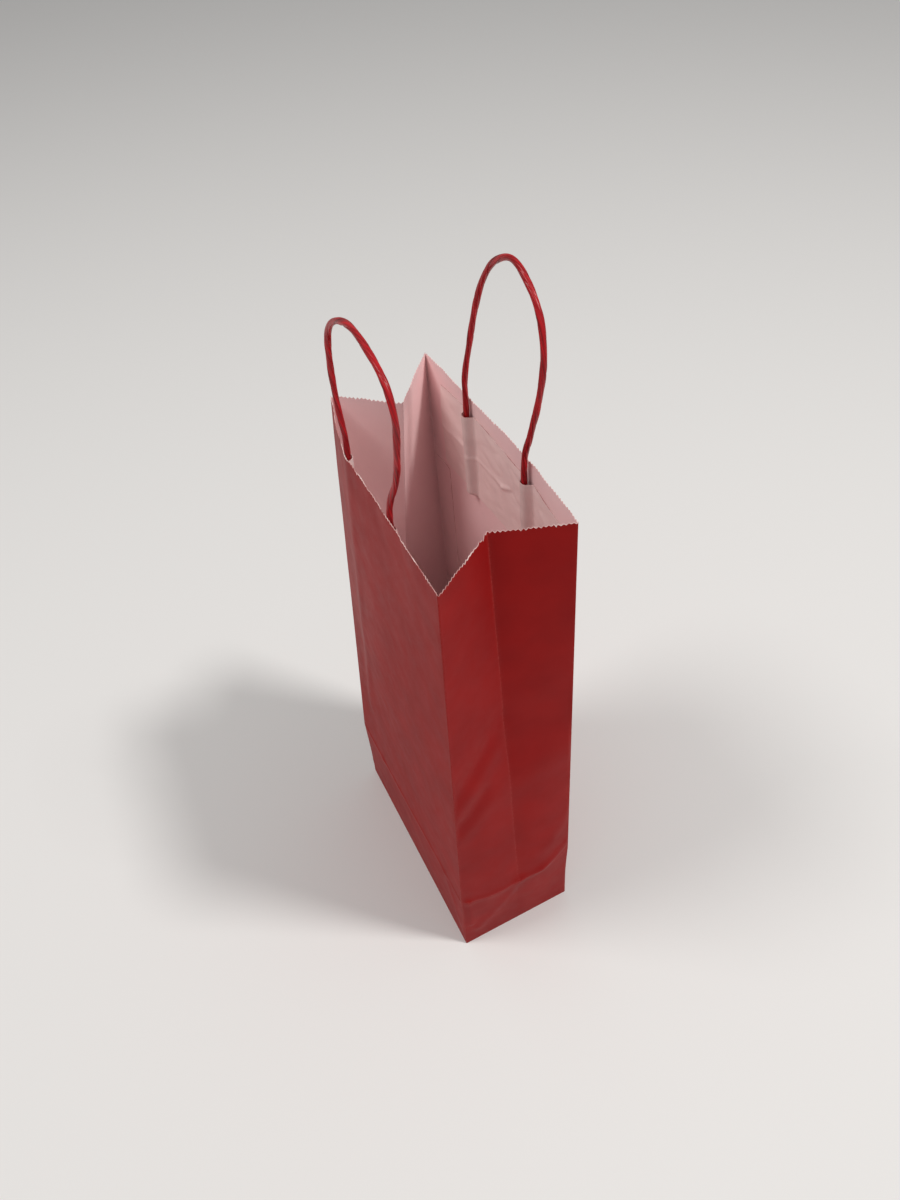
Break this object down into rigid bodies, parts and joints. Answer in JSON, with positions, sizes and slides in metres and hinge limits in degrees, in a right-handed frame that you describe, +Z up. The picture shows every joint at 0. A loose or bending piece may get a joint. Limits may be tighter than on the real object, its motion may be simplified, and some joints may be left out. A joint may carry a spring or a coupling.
{
  "type": "gift bag",
  "caption": "Tall block-bottom paper gift bag with folded gussets, an open pinked mouth, and a twisted cord handle glued inside each wide panel.",
  "frame": {"origin": "middle of the bag's base, on the surface it stands on", "axes": "+X along the wide panels towards the right gusset, +Y from the front panel to the back panel, +Z up"},
  "size_m": [0.158, 0.0822, 0.4094],
  "materials": {
    "bag_paper": "red printed outside with a satin coat, white inside",
    "patch_paper": "matt white",
    "handle_cord": "red paper twisted into a shiny cord"
  },
  "bodies": {
    "base": {"front_base_strip": "bag_paper", "back_base_strip": "bag_paper", "right_base_strip": "bag_paper", "left_base_strip": "bag_paper", "bottom_front_flap": "bag_paper", "bottom_back_flap": "bag_paper", "bottom_right_tuck": "bag_paper", "bottom_left_tuck": "bag_paper"},
    "front_wall": {"front_panel": "bag_paper", "front_patch_backing": "patch_paper", "front_patch_cover": "patch_paper", "front_handle_tail_left": "handle_cord", "front_handle_tail_right": "handle_cord"},
    "back_wall": {"back_panel": "bag_paper", "side_seam_flap": "bag_paper", "back_patch_backing": "patch_paper", "back_patch_cover": "patch_paper", "back_handle_tail_left": "handle_cord", "back_handle_tail_right": "handle_cord"},
    "right_front_fold": {"right_gusset_front": "bag_paper"},
    "right_back_fold": {"right_gusset_back": "bag_paper"},
    "left_front_fold": {"left_gusset_front": "bag_paper"},
    "left_back_fold": {"left_gusset_back": "bag_paper"},
    "front_handle_loop": {"front_handle": "handle_cord"},
    "back_handle_loop": {"back_handle": "handle_cord"}
  },
  "joints": [
    {"name": "mouth_close", "type": "hinge", "parent": "base", "child": "front_wall", "pos_m": [0, -0.037, 0.061], "axis": [-1, 0, 0], "range_deg": [-0.5, 2.4]},
    {"name": "back_wall_lean", "type": "hinge", "parent": "base", "child": "back_wall", "pos_m": [0, 0.037, 0.061], "axis": [1, 0, 0], "range_deg": [-0.5, 2.4]},
    {"name": "right_front_gusset_fold", "type": "hinge", "parent": "front_wall", "child": "right_front_fold", "pos_m": [0.074, -0.037, 0.061], "axis": [0.0112, 0.0186, 0.9998], "range_deg": [-5.5, 26.4]},
    {"name": "right_back_gusset_fold", "type": "hinge", "parent": "back_wall", "child": "right_back_fold", "pos_m": [0.074, 0.037, 0.061], "axis": [0.0167, 0.0093, -0.9998], "range_deg": [-5.5, 26.4]},
    {"name": "left_front_gusset_fold", "type": "hinge", "parent": "front_wall", "child": "left_front_fold", "pos_m": [-0.074, -0.037, 0.061], "axis": [-0.0297, -0.0667, -0.9973], "range_deg": [-4.25, 20.4]},
    {"name": "left_back_gusset_fold", "type": "hinge", "parent": "back_wall", "child": "left_back_fold", "pos_m": [-0.074, 0.037, 0.061], "axis": [-0.0056, -0.0037, 1], "range_deg": [-4.25, 20.4]},
    {"name": "front_handle_swing", "type": "hinge", "parent": "front_wall", "child": "front_handle_loop", "pos_m": [-0.00285, -0.02672, 0.3315], "axis": [-0.9991, 0.0428, 0], "range_deg": [-40, 14]},
    {"name": "back_handle_swing", "type": "hinge", "parent": "back_wall", "child": "back_handle_loop", "pos_m": [-0.0013, 0.03473, 0.3315], "axis": [1, 0.0085, 0], "range_deg": [-40, 14]}
  ],
  "couplings": [
    {"joint": "back_wall_lean", "follows": "mouth_close", "ratio": 1},
    {"joint": "right_front_gusset_fold", "follows": "mouth_close", "ratio": 11},
    {"joint": "right_back_gusset_fold", "follows": "mouth_close", "ratio": 11},
    {"joint": "left_front_gusset_fold", "follows": "mouth_close", "ratio": 8.5},
    {"joint": "left_back_gusset_fold", "follows": "mouth_close", "ratio": 8.5}
  ]
}
